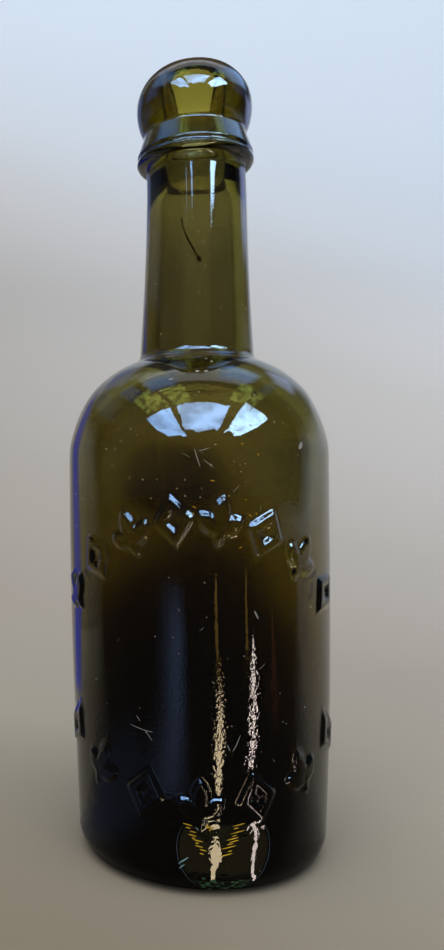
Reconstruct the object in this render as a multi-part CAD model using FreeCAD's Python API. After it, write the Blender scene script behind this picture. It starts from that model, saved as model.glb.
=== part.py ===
import FreeCAD, Part
import math
import os

from FreeCAD import Vector

# Half-pint glass bottle, one blown piece, standing on its foot ring.
# Millimetres. The origin is the middle of the foot, +Z runs up the bottle
# and -Y is the front, the side with the raised ornament and the chip.

# Outside of the body and shoulder
body_r = 33.0
shoulder_z = 97.0
side_bow_r = 1848.0
heel_round = 5.8
shoulder_round = 25.5
neck_sweep = 3.0

# Neck
neck_foot_r = 14.5
neck_mid_r = 13.27
neck_top_r = 12.82
neck_length = 48.4

# Collar ring and blob lip
collar_r = 15.1
collar_under = 1.2
collar_band = 1.85
collar_skirt = 5.4
groove_r = 13.1
blob_r = 14.95
blob_lower = 7.3
blob_round = 10.6

# Foot
foot_inner_r = 19.5
push_up = 5.0

# Inside
bore_r = 8.0
bore_length = 29.5
mouth_round = 1.6
neck_wall = 3.4
body_wall = 4.0
heel_wall = 5.0
base_wall = 6.5
inner_heel_round = 8.5

# Raised ornament on the front
relief_height = 0.75
relief_root = 0.8
relief_draft = 0.35
upper_count = 8
upper_spacing = 10.3
upper_drop = 0.0136
upper_below_shoulder = 14.8
lower_count = 7
lower_spacing = 12.4
lower_rise = 0.008
lower_z = 20.6
lozenge_half_width = 4.5
lozenge_half_height = 5.6
lozenge_stroke = 2.2
leaf_half_length = 3.6
leaf_half_width = 1.75
stem_half_length = 2.1
stem_half_width = 1.0

# Flake chipped off the front of the heel
chip_angle = 9.5
chip_z = 10.8
chip_r = 10.7
chip_top_z = 16.8
chip_depth = 0.9
chip_bevel = 0.8

UP = Vector(0, 0, 1)
ORIGIN = Vector(0, 0, 0)


# Points and edges in the XZ plane
def at(radius, height):
    return Vector(radius, 0, height)


def line(a, b):
    return Part.LineSegment(a, b).toShape()


def arc(a, middle, b):
    return Part.Arc(a, middle, b).toBSpline().toShape()


def round_edge(centre, radius, start, end):
    """Arc about a centre, from one angle to another, in degrees above the radius."""
    def point(angle):
        a = math.radians(angle)
        return at(centre.x + radius * math.cos(a), centre.z + radius * math.sin(a))
    return arc(point(start), point((start + end) / 2), point(end))


def angle_of(centre, point):
    return math.degrees(math.atan2(point.z - centre.z, point.x - centre.x))


def revolved(edges):
    wire = Part.Wire(Part.__sortEdges__(edges))
    return Part.Face(wire).revolve(ORIGIN, UP, 360)


# The side follows one long arc that is upright at the shoulder, in straight steps
side_centre = at(body_r - side_bow_r, shoulder_z)


def side_radius(height, extra=0.0):
    rise = height - shoulder_z
    return side_centre.x + math.sqrt((side_bow_r + extra) ** 2 - rise ** 2)


def side_points(low_z, extra=0.0):
    """Points up the side from a height to the shoulder, pushed out by extra."""
    steps = [z for z in (shoulder_z * 0.37, shoulder_z * 0.69, shoulder_z) if z > low_z]
    return [at(side_radius(z, extra), z) for z in [low_z] + steps]


def polyline(points):
    return [line(a, b) for a, b in zip(points, points[1:])]


# The heel is tangent to the foot and to the side
heel_reach = side_bow_r - heel_round
heel_centre = at(side_centre.x + math.sqrt(heel_reach ** 2 - (heel_round - shoulder_z) ** 2), heel_round)
heel_angle = angle_of(side_centre, heel_centre)
heel_r = side_radius(heel_round)

# The shoulder is tangent to the side, and a small sweep joins it to the neck
shoulder_centre = at(body_r - shoulder_round, shoulder_z)
sweep_reach = shoulder_round + neck_sweep
sweep_r = neck_foot_r + neck_sweep
sweep_rise = math.sqrt(sweep_reach ** 2 - (sweep_r - shoulder_centre.x) ** 2)
sweep_centre = at(sweep_r, shoulder_z + sweep_rise)
sweep_angle = angle_of(shoulder_centre, sweep_centre)
neck_foot_z = sweep_centre.z

# Heights of the collar and lip
collar_z = neck_foot_z + neck_length
rim_z = collar_z + collar_under
groove_z = rim_z + collar_band + collar_skirt
blob_z = groove_z + blob_lower

# The lip's crown is tangent to the blob and to the bore
blob_centre = at(blob_r - blob_round, blob_z)
crown_r = bore_r + mouth_round
crown_rise = math.sqrt((blob_round - mouth_round) ** 2 - (crown_r - blob_centre.x) ** 2)
crown_centre = at(crown_r, blob_z + crown_rise)
crown_angle = angle_of(blob_centre, crown_centre)
bore_foot_z = crown_centre.z - bore_length
floor_z = push_up + base_wall


# Outside of the glass
def foot_edges():
    dome = arc(at(0, push_up), at(foot_inner_r * 0.55, push_up * 0.72), at(foot_inner_r, 0))
    ring = line(at(foot_inner_r, 0), at(heel_centre.x, 0))
    heel = round_edge(heel_centre, heel_round, -90, heel_angle)
    return [dome, ring, heel]


def body_edges():
    heel_top_z = heel_centre.z + heel_round * math.sin(math.radians(heel_angle))
    side = polyline(side_points(heel_top_z))
    shoulder = round_edge(shoulder_centre, shoulder_round, 0, sweep_angle)
    sweep = round_edge(sweep_centre, neck_sweep, sweep_angle + 180, 180)
    return side + [shoulder, sweep]


def neck_edges():
    middle = at(neck_mid_r, neck_foot_z + neck_length / 2)
    return [arc(at(neck_foot_r, neck_foot_z), middle, at(neck_top_r, collar_z))]


def collar_edges():
    root = at(neck_top_r, collar_z)
    swell = collar_r - neck_top_r
    under_mid = at(neck_top_r + swell * 0.72, collar_z + collar_under * 0.3)
    rim = at(collar_r, rim_z)
    band_top = at(collar_r - swell * 0.05, rim_z + collar_band)
    return [arc(root, under_mid, rim)] + polyline([rim, band_top, at(groove_r, groove_z)])


def blob_edges():
    swell = blob_r - groove_r
    low_mid = at(groove_r + swell * 0.55, groove_z + blob_lower * 0.3)
    lower = arc(at(groove_r, groove_z), low_mid, at(blob_r, blob_z))
    upper = round_edge(blob_centre, blob_round, 0, crown_angle)
    crown = round_edge(crown_centre, mouth_round, crown_angle, 180)
    return [lower, upper, crown]


# Inside of the glass, from the mouth down
def inner_neck_edges():
    bore = line(at(bore_r, crown_centre.z), at(bore_r, bore_foot_z))
    step_foot = at(neck_top_r - neck_wall, bore_foot_z - 3.5)
    step = line(at(bore_r, bore_foot_z), step_foot)
    neck_foot = at(neck_foot_r - body_wall, neck_foot_z)
    return [bore, step, line(step_foot, neck_foot)]


def inner_shoulder_edges():
    sweep = round_edge(sweep_centre, neck_sweep + body_wall, 180, sweep_angle + 180)
    shoulder = round_edge(shoulder_centre, shoulder_round - body_wall, sweep_angle, 0)
    return [sweep, shoulder]


def inner_floor_edges():
    top = at(body_r - body_wall, shoulder_z)
    corner_z = floor_z + inner_heel_round
    foot = at(side_radius(corner_z) - heel_wall, corner_z)
    middle_z = (shoulder_z + corner_z) / 2
    middle = at(side_radius(middle_z) - body_wall * 0.6 - heel_wall * 0.4, middle_z)
    corner_centre = at(foot.x - inner_heel_round, corner_z)
    corner = round_edge(corner_centre, inner_heel_round, 0, -75)
    corner_end = corner.Vertexes[-1].Point
    dome_mid = at(corner_end.x * 0.5, corner_end.z + (floor_z - corner_end.z) * 0.76)
    floor = arc(corner_end, dome_mid, at(0, floor_z))
    return polyline([top, middle, foot]) + [corner, floor]


def glass_body():
    outside = foot_edges() + body_edges() + neck_edges() + collar_edges() + blob_edges()
    inside = inner_neck_edges() + inner_shoulder_edges() + inner_floor_edges()
    axis = [line(at(0, floor_z), at(0, push_up))]
    return revolved(outside + inside + axis)


# Raised ornament: lozenge rings and leaf sprigs, modelled facing -Y
def lozenge_wire(half_width, half_height, depth):
    corners = [
        Vector(half_width, depth, 0),
        Vector(0, depth, half_height),
        Vector(-half_width, depth, 0),
        Vector(0, depth, -half_height),
    ]
    return Part.makePolygon(corners + corners[:1])


def leaf_wire(half_length, half_width, depth):
    foot = Vector(0, depth, -half_length)
    tip = Vector(0, depth, half_length)
    right = Part.Arc(foot, Vector(half_width, depth, 0), tip).toShape()
    left = Part.Arc(tip, Vector(-half_width, depth, 0), foot).toShape()
    return Part.Wire([right, left])


def tapered(wire, half_a, half_b, sign=1):
    """Solid whose outline narrows towards the front (sign 1) or widens (-1)."""
    change = relief_draft * sign
    back = wire(half_a + change, half_b + change, 1.6)
    front = wire(half_a - change, half_b - change, -1.6)
    return Part.makeLoft([back, front], True, True)


def lozenge_ring():
    outer = tapered(lozenge_wire, lozenge_half_width, lozenge_half_height)
    across_side = math.hypot(lozenge_half_width, lozenge_half_height)
    share = 1 - lozenge_stroke * across_side / (lozenge_half_width * lozenge_half_height)
    inner = tapered(lozenge_wire, lozenge_half_width * share, lozenge_half_height * share, -1)
    return outer.cut(inner)


def turned(shape, degrees, across, up):
    shape.rotate(ORIGIN, Vector(0, 1, 0), degrees)
    shape.translate(Vector(across, 0, up))
    return shape


def leaf_sprig():
    reach = leaf_half_length * 0.66
    side_length = leaf_half_length * 0.86
    top = turned(tapered(leaf_wire, leaf_half_length, leaf_half_width), 0, 0, 1.7)
    left = turned(tapered(leaf_wire, side_length, leaf_half_width), -52, -reach, -0.9)
    right = turned(tapered(leaf_wire, side_length, leaf_half_width), 52, reach, -0.9)
    stem = turned(tapered(leaf_wire, stem_half_length, stem_half_width), 0, 0, -3.3)
    return top.fuse([left, right, stem])


def upper_place(index):
    along = (index - (upper_count - 1) / 2) * upper_spacing
    height = shoulder_z - upper_below_shoulder - upper_drop * along ** 2
    return along, height, math.degrees(math.atan(-2 * upper_drop * along))


def lower_place(index):
    along = (index - (lower_count - 1) / 2) * lower_spacing
    height = lower_z + lower_rise * along ** 2
    return along, height, math.degrees(math.atan(2 * lower_rise * along))


def placed(shape, along, height, tilt):
    radius = side_radius(height)
    shape.rotate(ORIGIN, Vector(0, 1, 0), -tilt)
    shape.translate(Vector(0, -radius, height))
    shape.rotate(ORIGIN, UP, math.degrees(along / radius))
    return shape


def relief_band():
    """Thin sleeve that follows the side, from under its surface to the relief's top."""
    low_z = heel_round + 4
    inner = side_points(low_z, -relief_root)
    outer = side_points(low_z, relief_height)
    ends = [line(inner[0], outer[0]), line(inner[-1], outer[-1])]
    return revolved(polyline(inner) + polyline(outer) + ends)


def ornament():
    motifs = []
    for index in range(upper_count):
        shape = lozenge_ring() if index % 2 else leaf_sprig()
        motifs.append(placed(shape, *upper_place(index)))
    for index in range(lower_count):
        shape = leaf_sprig() if index % 2 else lozenge_ring()
        motifs.append(placed(shape, *lower_place(index)))
    band = relief_band()
    return [motif.common(band) for motif in motifs]


# Chip: a thin flake off the heel, round in front view and flat along its top
def chip_core():
    """What stays behind the flake: the outside of the heel, sunk by the chip's depth."""
    heel = round_edge(heel_centre, heel_round - chip_depth, -90, heel_angle)
    side = side_points(heel.Vertexes[-1].Z, -chip_depth)[:2]
    below = -heel_round
    inside = [at(0, side[-1].z), at(0, below), at(heel_centre.x, below), at(heel_centre.x, chip_depth)]
    return revolved([heel] + polyline(side + inside))


def chip_tool():
    reach = chip_r / 2
    start = Vector(0, reach - heel_r, chip_z)
    change = chip_bevel * reach
    outline = Part.makeCone(chip_r - change, chip_r + change, 2 * reach, start, Vector(0, -1, 0))
    width = chip_r + change
    below = Part.makeBox(2 * width, 2 * heel_r, 2 * width, Vector(-width, -2 * heel_r, chip_top_z - 2 * width))
    slab = outline.common(below).cut(chip_core())
    slab.rotate(ORIGIN, UP, chip_angle)
    return slab


def bottle():
    glass = glass_body().fuse(ornament())
    glass = glass.cut(chip_tool())
    return glass.removeSplitter()


os.makedirs("parts", exist_ok=True)
bottle().exportStep("parts/bottle.step")
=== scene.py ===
import bpy, math
import numpy as np
from mathutils import Matrix


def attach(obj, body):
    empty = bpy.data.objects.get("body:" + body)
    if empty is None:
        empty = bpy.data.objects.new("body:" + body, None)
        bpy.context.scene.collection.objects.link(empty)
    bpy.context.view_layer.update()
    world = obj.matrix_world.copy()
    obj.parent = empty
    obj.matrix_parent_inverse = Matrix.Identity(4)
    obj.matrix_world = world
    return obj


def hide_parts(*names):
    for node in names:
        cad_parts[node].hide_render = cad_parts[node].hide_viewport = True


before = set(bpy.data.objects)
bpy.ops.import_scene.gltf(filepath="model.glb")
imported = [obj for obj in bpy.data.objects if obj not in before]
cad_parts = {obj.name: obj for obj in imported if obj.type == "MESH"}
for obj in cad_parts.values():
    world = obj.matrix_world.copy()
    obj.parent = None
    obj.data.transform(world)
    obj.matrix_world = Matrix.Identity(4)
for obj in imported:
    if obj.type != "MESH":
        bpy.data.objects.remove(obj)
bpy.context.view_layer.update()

scene = bpy.context.scene
scene.view_settings.view_transform = "Standard"

# Sizes of the glass, in millimetres. The steps say how far apart the columns are, in degrees
# from the front, and the rows up the side, as (place, step)
glass = {
    "bodyRadius": 33.0, "shoulderHeight": 97.0, "sideBow": 1848.0, "heelRound": 5.8,
    "shoulderRound": 25.5, "neckSweep": 3.0, "neckFootRadius": 14.5, "neckMidRadius": 13.27,
    "neckTopRadius": 12.82, "neckLength": 48.4, "collarRadius": 15.1, "collarUnder": 1.2,
    "collarBand": 1.85, "collarDip": 0.16, "collarSkirt": 5.4, "grooveRadius": 13.1,
    "blobRadius": 14.95, "blobLower": 7.3, "blobRound": 10.6, "footInnerRadius": 19.5,
    "pushUp": 5.0, "boreRadius": 8.0, "boreLength": 29.5, "boreFadeAbove": 5.0,
    "boreFadeBelow": 5.5, "mouthRound": 1.6, "neckWall": 3.4, "bodyWall": 4.0, "heelWall": 5.0,
    "baseWall": 6.5, "innerHeelRound": 8.5,
    "columnSteps": ((0, 0.42), (24, 0.42), (30, 0.9), (77, 0.9), (84, 5), (180, 5)),
    "rowSteps": ((0, 0.36), (17, 0.36), (19, 0.52), (28, 0.52), (32, 1.4), (56, 1.4), (59, 0.6),
                 (88, 0.6), (92, 1.1), (99, 1.1)),
}

# Raised ornament, in millimetres and degrees. A motif counts within its reach
relief = {
    "height": 0.75, "soft": 0.5, "upperCount": 8, "upperSpacing": 10.3, "upperDrop": 0.0136,
    "upperBelowShoulder": 14.8, "lowerCount": 7, "lowerSpacing": 12.4, "lowerRise": 0.008,
    "lowerHeight": 20.6, "lozengeHalfWidth": 4.5, "lozengeHalfHeight": 5.6, "lozengeStroke": 2.2,
    "leafHalfLength": 3.6, "leafHalfWidth": 1.75, "stemHalfLength": 2.1, "stemHalfWidth": 1.0,
    "leafTurn": 52, "leafUp": 1.7, "sideLeafDown": -0.9, "stemDown": -3.3, "reach": 8,
    "clearOfHeel": 2, "clearOfShoulder": 1,
}

# Flake chipped off the heel, in millimetres and degrees from the front. Its barbs fade in and
# out between pairs of distances from their middle, and between pairs of turns in radians
chip = {
    "angle": 9.5, "height": 10.8, "radius": 10.7, "top": 16.8, "depth": 0.13, "rim": 1.6,
    "zoneLow": 0.05, "zoneTop": 18, "zoneInside": 23.5, "frontOnly": 0.6, "wallRadius": 30.8,
    "barbs": 36, "barbDepth": 0.04, "barbHeight": 12.0, "barbAcross": -1.5,
    "near": (1.8, 3.2), "far": (9.0, 6.5), "low": (0.1, 0.35), "high": (1.35, 1.0),
    "swell": 0.018, "swellPitch": 0.75, "swellHeight": 22, "swellStart": 0.4, "live": (0.2, 1.6),
}

# How far the blown glass is from a true turned shape, in millimetres and degrees. Each fault
# fades in and out between pairs of heights
crooked = {
    "lipTilt": 0.645, "lipNod": 0.6, "lipShift": -0.25, "neckBend": 0.32, "lipSink": 0.2,
    "bodySway": 0.175, "footSway": 0.13, "shoulderThin": 0.3, "pivot": 172.1,
    "swayIn": (38, 84), "swayOut": (122, 100), "footIn": (0, 12), "footOut": (50, 30),
    "bendIn": (115, 165), "lipIn": (166.1, 174.1), "sinkIn": (180, 196),
    "thinIn": (98, 105), "thinOut": (114, 107),
}


def straight(a, b, steps):
    # (radius, height) points a (1 - t) + b t, as all profile pieces run from start to end
    t = np.linspace(0, 1, steps + 1)[:, None]
    return np.array(a) * (1 - t) + np.array(b) * t


def arcAbout(centre, radius, start, end, steps):
    # centre + radius (cos a, sin a), between two angles in degrees
    a = np.radians(np.linspace(start, end, steps + 1))
    return np.c_[centre[0] + radius * np.cos(a), centre[1] + radius * np.sin(a)]


def arcThrough(a, m, b, steps):
    # the centre is as far from all three points: solve 2(p - a).c = p.p - a.a
    a, m, b = (np.array(p, float) for p in (a, m, b))
    left = 2 * np.array([m - a, b - a])
    right = np.array([m @ m - a @ a, b @ b - a @ a])
    c = np.linalg.solve(left, right)
    angle = [math.atan2(*(p - c)[::-1]) for p in (a, m, b)]
    turn = (angle[2] - angle[0] + math.pi) % (2 * math.pi) - math.pi
    half = (angle[1] - angle[0] + math.pi) % (2 * math.pi) - math.pi
    if turn * half < 0:
        turn -= math.copysign(2 * math.pi, turn)
    start = math.degrees(angle[0])
    return arcAbout(c, np.hypot(*(a - c)), start, math.degrees(angle[0] + turn), steps)


def stepped(start, end, steps):
    # values whose count so far is the integral of 1 / step, steps being (place, step)
    at, step = np.array(steps, float).T
    fine = np.linspace(start, end, 4000)
    density = 1 / np.interp(np.abs(fine), at, step)
    count = np.r_[0, np.cumsum((density[1:] + density[:-1]) / 2 * np.diff(fine))]
    return np.interp(np.linspace(0, count[-1], int(round(count[-1])) + 1), count, fine)


def smooth(low, high, values):
    # 3t^2 - 2t^3, t runs from 0 at low to 1 at high
    t = np.clip((values - low) / (high - low), 0, 1)
    return t * t * (3 - 2 * t)


def angleOf(c, p):
    # which way p lies from c, in degrees
    return math.degrees(math.atan2(p[1] - c[1], p[0] - c[0]))


def sideRadius(z):
    # one long arc, widest at the shoulder's foot: r0 - bow + sqrt(bow^2 - (z - z0)^2)
    g = glass
    drop = np.sqrt(g["sideBow"] ** 2 - (z - g["shoulderHeight"]) ** 2)
    return g["bodyRadius"] - g["sideBow"] + drop


def glassProfile():
    # outside from the foot's middle to the crown, then inside down to the floor's middle:
    # where two arcs meet, their centres lie one sum or one difference of radii apart
    g = glass
    side = (g["bodyRadius"] - g["sideBow"], g["shoulderHeight"])
    reach = g["sideBow"] - g["heelRound"]
    heelRadius = side[0] + math.sqrt(reach ** 2 - (g["heelRound"] - side[1]) ** 2)
    heel = (heelRadius, g["heelRound"])
    heelAngle = angleOf(side, heel)
    heelTop = arcAbout(heel, g["heelRound"], heelAngle, heelAngle, 1)[0]
    shoulder = (g["bodyRadius"] - g["shoulderRound"], g["shoulderHeight"])
    sweepRadius = g["neckFootRadius"] + g["neckSweep"]
    sweepReach = g["shoulderRound"] + g["neckSweep"]
    neckFoot = side[1] + math.sqrt(sweepReach ** 2 - (sweepRadius - shoulder[0]) ** 2)
    sweep = (sweepRadius, neckFoot)
    sweepAngle = angleOf(shoulder, sweep)
    collar = neckFoot + g["neckLength"]
    rim = collar + g["collarUnder"]
    bandTop = rim + g["collarBand"]
    groove = bandTop + g["collarSkirt"]
    blob = groove + g["blobLower"]
    big = (g["blobRadius"] - g["blobRound"], blob)
    crownRadius = g["boreRadius"] + g["mouthRound"]
    rise = math.sqrt((g["blobRound"] - g["mouthRound"]) ** 2 - (crownRadius - big[0]) ** 2)
    crown = (crownRadius, blob + rise)
    crownAngle = angleOf(big, crown)
    swell = g["collarRadius"] - g["neckTopRadius"]
    belly = g["blobRadius"] - g["grooveRadius"]

    # rows up the side are close where the chip and the ornament are
    rows = stepped(heelTop[1], side[1], g["rowSteps"])
    # two beads with a dip between them run round the collar: dip * sin^2(pi t)
    t = np.linspace(0, 1, 10)
    dip = g["collarDip"] * np.sin(np.pi * t) ** 2
    bandRadius = g["collarRadius"] - swell * 0.05
    # the foot, the neck and the undersides of collar and lip are arcs through three points
    footMiddle = (g["footInnerRadius"] * 0.55, g["pushUp"] * 0.72)
    neckMiddle = (g["neckMidRadius"], neckFoot + g["neckLength"] / 2)
    collarMiddle = (g["neckTopRadius"] + swell * 0.72, collar + g["collarUnder"] * 0.3)
    blobMiddle = (g["grooveRadius"] + belly * 0.55, groove + g["blobLower"] * 0.3)
    standing = (g["footInnerRadius"], 0)
    neckTop = (g["neckTopRadius"], collar)
    outside = [
        arcThrough((0, g["pushUp"]), footMiddle, standing, 9),
        straight(standing, (heel[0], 0), 3),
        arcAbout(heel, g["heelRound"], -90, heelAngle, 16),
        np.c_[sideRadius(rows), rows],
        arcAbout(shoulder, g["shoulderRound"], 0, sweepAngle, 18),
        arcAbout(sweep, g["neckSweep"], sweepAngle + 180, 180, 7),
        arcThrough((g["neckFootRadius"], neckFoot), neckMiddle, neckTop, 16),
        arcThrough(neckTop, collarMiddle, (g["collarRadius"], rim), 8),
        np.c_[g["collarRadius"] - swell * 0.05 * t - dip, rim + g["collarBand"] * t],
        straight((bandRadius, bandTop), (g["grooveRadius"], groove), 11),
        arcThrough((g["grooveRadius"], groove), blobMiddle, (g["blobRadius"], blob), 11),
        arcAbout(big, g["blobRound"], 0, crownAngle, 13),
        arcAbout(crown, g["mouthRound"], crownAngle, 180, 8),
    ]

    # inside, the bore eases out into the neck as 3t^2 - 2t^3
    boreFoot = crown[1] - g["boreLength"]
    fadeTop = boreFoot + g["boreFadeAbove"]
    stepFoot = (g["neckTopRadius"] - g["neckWall"], boreFoot - g["boreFadeBelow"])
    fall = np.linspace(0, 1, 9)
    ease = smooth(0, 1, fall)
    easeRadius = g["boreRadius"] + (stepFoot[0] - g["boreRadius"]) * ease
    floor = g["pushUp"] + g["baseWall"]
    corner = floor + g["innerHeelRound"]
    foot = (sideRadius(corner) - g["heelWall"], corner)
    middle = (side[1] + corner) / 2
    middlePoint = (sideRadius(middle) - g["bodyWall"] * 0.6 - g["heelWall"] * 0.4, middle)
    cornerCentre = (foot[0] - g["innerHeelRound"], corner)
    cornerArc = arcAbout(cornerCentre, g["innerHeelRound"], 0, -75, 7)
    end = cornerArc[-1]
    floorMiddle = (end[0] * 0.5, end[1] + (floor - end[1]) * 0.76)
    inside = [
        straight((g["boreRadius"], crown[1]), (g["boreRadius"], fadeTop), 5),
        np.c_[easeRadius, fadeTop + (stepFoot[1] - fadeTop) * fall],
        straight(stepFoot, (g["neckFootRadius"] - g["bodyWall"], neckFoot), 9),
        arcAbout(sweep, g["neckSweep"] + g["bodyWall"], 180, sweepAngle + 180, 6),
        arcAbout(shoulder, g["shoulderRound"] - g["bodyWall"], sweepAngle, 0, 10),
        arcThrough((g["bodyRadius"] - g["bodyWall"], side[1]), middlePoint, foot, 12),
        cornerArc,
        arcThrough(end, floorMiddle, (0, floor), 6),
    ]
    points = np.vstack(outside + inside)
    keep = np.r_[True, np.hypot(*np.diff(points, axis=0).T) > 1e-4]
    outsideCount = int(keep[:sum(len(p) for p in outside)].sum())
    # the first row of the heel's round
    heelRow = int(keep[:sum(len(p) for p in outside[:2])].sum())
    return points[keep], outsideCount, heelTop[1], heelRow


profile, outsideCount, heelTop, heelRow = glassProfile()
print("profile rows", len(profile), "outside", outsideCount)


# Ornament as signed distances in mm, u across and v up from a motif's middle
def lozengeRing(u, v):
    # a lozenge |u| / w + |v| / h = 1, and a smaller one inside it
    r = relief
    w, h = r["lozengeHalfWidth"], r["lozengeHalfHeight"]
    scale = w * h / math.hypot(w, h)
    d = (np.abs(u) / w + np.abs(v) / h - 1) * scale
    return np.maximum(d, -d - r["lozengeStroke"])


def leaf(u, v, halfLength, halfWidth, turn, across, up):
    # two equal circles meet at the leaf's tips
    a = math.radians(turn)
    x, y = u - across, v - up
    x, y = x * math.cos(a) - y * math.sin(a), x * math.sin(a) + y * math.cos(a)
    radius = (halfLength ** 2 + halfWidth ** 2) / (2 * halfWidth)
    return np.hypot(np.abs(x) + radius - halfWidth, y) - radius


def leafSprig(u, v):
    # a leaf upright, one to each side and a stem below: the least of four distances
    r = relief
    length, width, down = r["leafHalfLength"], r["leafHalfWidth"], r["sideLeafDown"]
    reach, side = length * 0.66, length * 0.86
    parts = [
        leaf(u, v, length, width, 0, 0, r["leafUp"]),
        leaf(u, v, side, width, -r["leafTurn"], -reach, down),
        leaf(u, v, side, width, r["leafTurn"], reach, down),
        leaf(u, v, r["stemHalfLength"], r["stemHalfWidth"], 0, 0, r["stemDown"]),
    ]
    return np.minimum.reduce(parts)


def ornamentHeight(along, z):
    # motifs stand square on two arcs, z = z0 + k s^2; height = H (3t^2 - 2t^3) over a soft edge
    r = relief
    upperHeight = glass["shoulderHeight"] - r["upperBelowShoulder"]
    d = np.full(along.shape, 9.0)
    for count, spacing, height, bend, motifs in (
        (r["upperCount"], r["upperSpacing"], upperHeight, -r["upperDrop"], (leafSprig, lozengeRing)),
        (r["lowerCount"], r["lowerSpacing"], r["lowerHeight"], r["lowerRise"], (lozengeRing, leafSprig)),
    ):
        for i in range(count):
            s = (i - (count - 1) / 2) * spacing
            tilt = math.atan(2 * bend * s)
            across, up = along - s, z - (height + bend * s ** 2)
            u = across * math.cos(tilt) + up * math.sin(tilt)
            v = -across * math.sin(tilt) + up * math.cos(tilt)
            near = (np.abs(u) < r["reach"]) & (np.abs(v) < r["reach"])
            d[near] = np.minimum(d[near], motifs[i % 2](u[near], v[near]))
    return r["height"] * smooth(0, 1, 0.5 - d / (2 * r["soft"]))


def chipInside(angle, radius, z):
    # distance across from the flake's middle, and how far inside its outline
    c = chip
    across = radius * np.sin(angle - math.radians(c["angle"]))
    return across, np.minimum(c["radius"] - np.hypot(across, z - c["height"]), c["top"] - z)


def chipDepth(angle, radius, z):
    # full depth within the rim, and on it a low swell and barbs, depth * sin(n a), which point
    # at one place and lie in two lobes above it
    c = chip
    across, inside = chipInside(angle, radius, z)
    u, v = across - c["barbAcross"], z - c["barbHeight"]
    far, turn = np.hypot(u, v), np.arctan2(v, np.abs(u) + 1e-9)
    lobe = smooth(*c["near"], far) * smooth(*c["far"], far)
    lobe = lobe * smooth(*c["low"], turn) * smooth(*c["high"], turn)
    barbs = c["barbDepth"] * np.sin(c["barbs"] * turn + 1.2 * np.sin(3 * far)) * lobe
    below = np.hypot(across, z - c["swellHeight"])
    swell = c["swell"] * np.sin(c["swellPitch"] * below + c["swellStart"])
    front = np.cos(angle) > c["frontOnly"]
    sunk = c["depth"] * smooth(0, c["rim"], inside)
    return (sunk + (barbs + swell) * smooth(*c["live"], inside)) * front


def shoulderDip(z):
    # how much leaner the shoulder's foot is
    return crooked["shoulderThin"] * smooth(*crooked["thinIn"], z) * smooth(*crooked["thinOut"], z)


def handMade(xyz):
    # body leaner on its right, neck bent, lip askew: shifts in mm, turns about the neck's top
    c = crooked
    x, y, z = (np.array(v, float) for v in xyz.T)
    sway = smooth(*c["swayIn"], z) * smooth(*c["swayOut"], z)
    footSway = smooth(*c["footIn"], z) * smooth(*c["footOut"], z)
    x = x - c["bodySway"] * (1 + x / glass["bodyRadius"]) * sway + c["footSway"] * footSway
    x = x + c["neckBend"] * smooth(*c["bendIn"], z)
    top = smooth(*c["lipIn"], z)
    tilt, nod = np.radians(c["lipTilt"]) * top, np.radians(c["lipNod"]) * top
    lift = z - c["pivot"]
    z = c["pivot"] + x * np.sin(tilt) + lift * np.cos(tilt)
    x = x * np.cos(tilt) - lift * np.sin(tilt) + c["lipShift"] * top
    lift = z - c["pivot"]
    z = c["pivot"] - y * np.sin(nod) + lift * np.cos(nod)
    y = y * np.cos(nod) + lift * np.sin(nod)
    return np.c_[x, y, z - c["lipSink"] * top * smooth(*c["sinkIn"], z)]


def addObject(name, data):
    obj = bpy.data.objects.new(name, data)
    scene.collection.objects.link(obj)
    return obj


def addMesh(name, verts, faces, material):
    mesh = bpy.data.meshes.new(name)
    mesh.from_pydata(verts, [], faces)
    mesh.materials.append(material)
    return addObject(name, mesh)


def newMaterial(name, values):
    # a material with its shader's own sockets set
    m = bpy.data.materials.new(name)
    m.use_nodes = True
    shader = m.node_tree.nodes["Principled BSDF"]
    for key, value in values.items():
        shader.inputs[key].default_value = value
    return m, m.node_tree, shader


def node(tree, kind, at, inputs=None, **values):
    # one node, its inputs linked or plain
    n = tree.nodes.new(kind)
    n.location = at
    for key, value in values.items():
        setattr(n, key, value)
    for key, value in (inputs or {}).items():
        if isinstance(value, bpy.types.NodeSocket):
            tree.links.new(value, n.inputs[key])
        else:
            n.inputs[key].default_value = value
    return n


def mathChain(tree, at, value, *steps):
    # a math node for each (operation, second value), to the right of the last
    x, y = at
    for operation, second in steps:
        value = node(tree, "ShaderNodeMath", (x, y), {0: value, 1: second}, operation=operation).outputs[0]
        x += 200
    return value


def fromTo(tree, at, value, start, end, low, high, **values):
    # low where the value is start, high where it is end
    ends = {"Value": value, "From Min": start, "From Max": end, "To Min": low, "To Max": high}
    return node(tree, "ShaderNodeMapRange", at, ends, **values).outputs[0]


def colourRamp(tree, at, value, stops):
    # stops are (place from 0 to 1, colour)
    ramp = node(tree, "ShaderNodeValToRGB", at, {0: value})
    elements = ramp.color_ramp.elements
    while len(elements) < len(stops):
        elements.new(0.5)
    for element, (place, color) in zip(elements, stops):
        element.position = place
        element.color = (*color, 1)
    return ramp.outputs[0]


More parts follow.
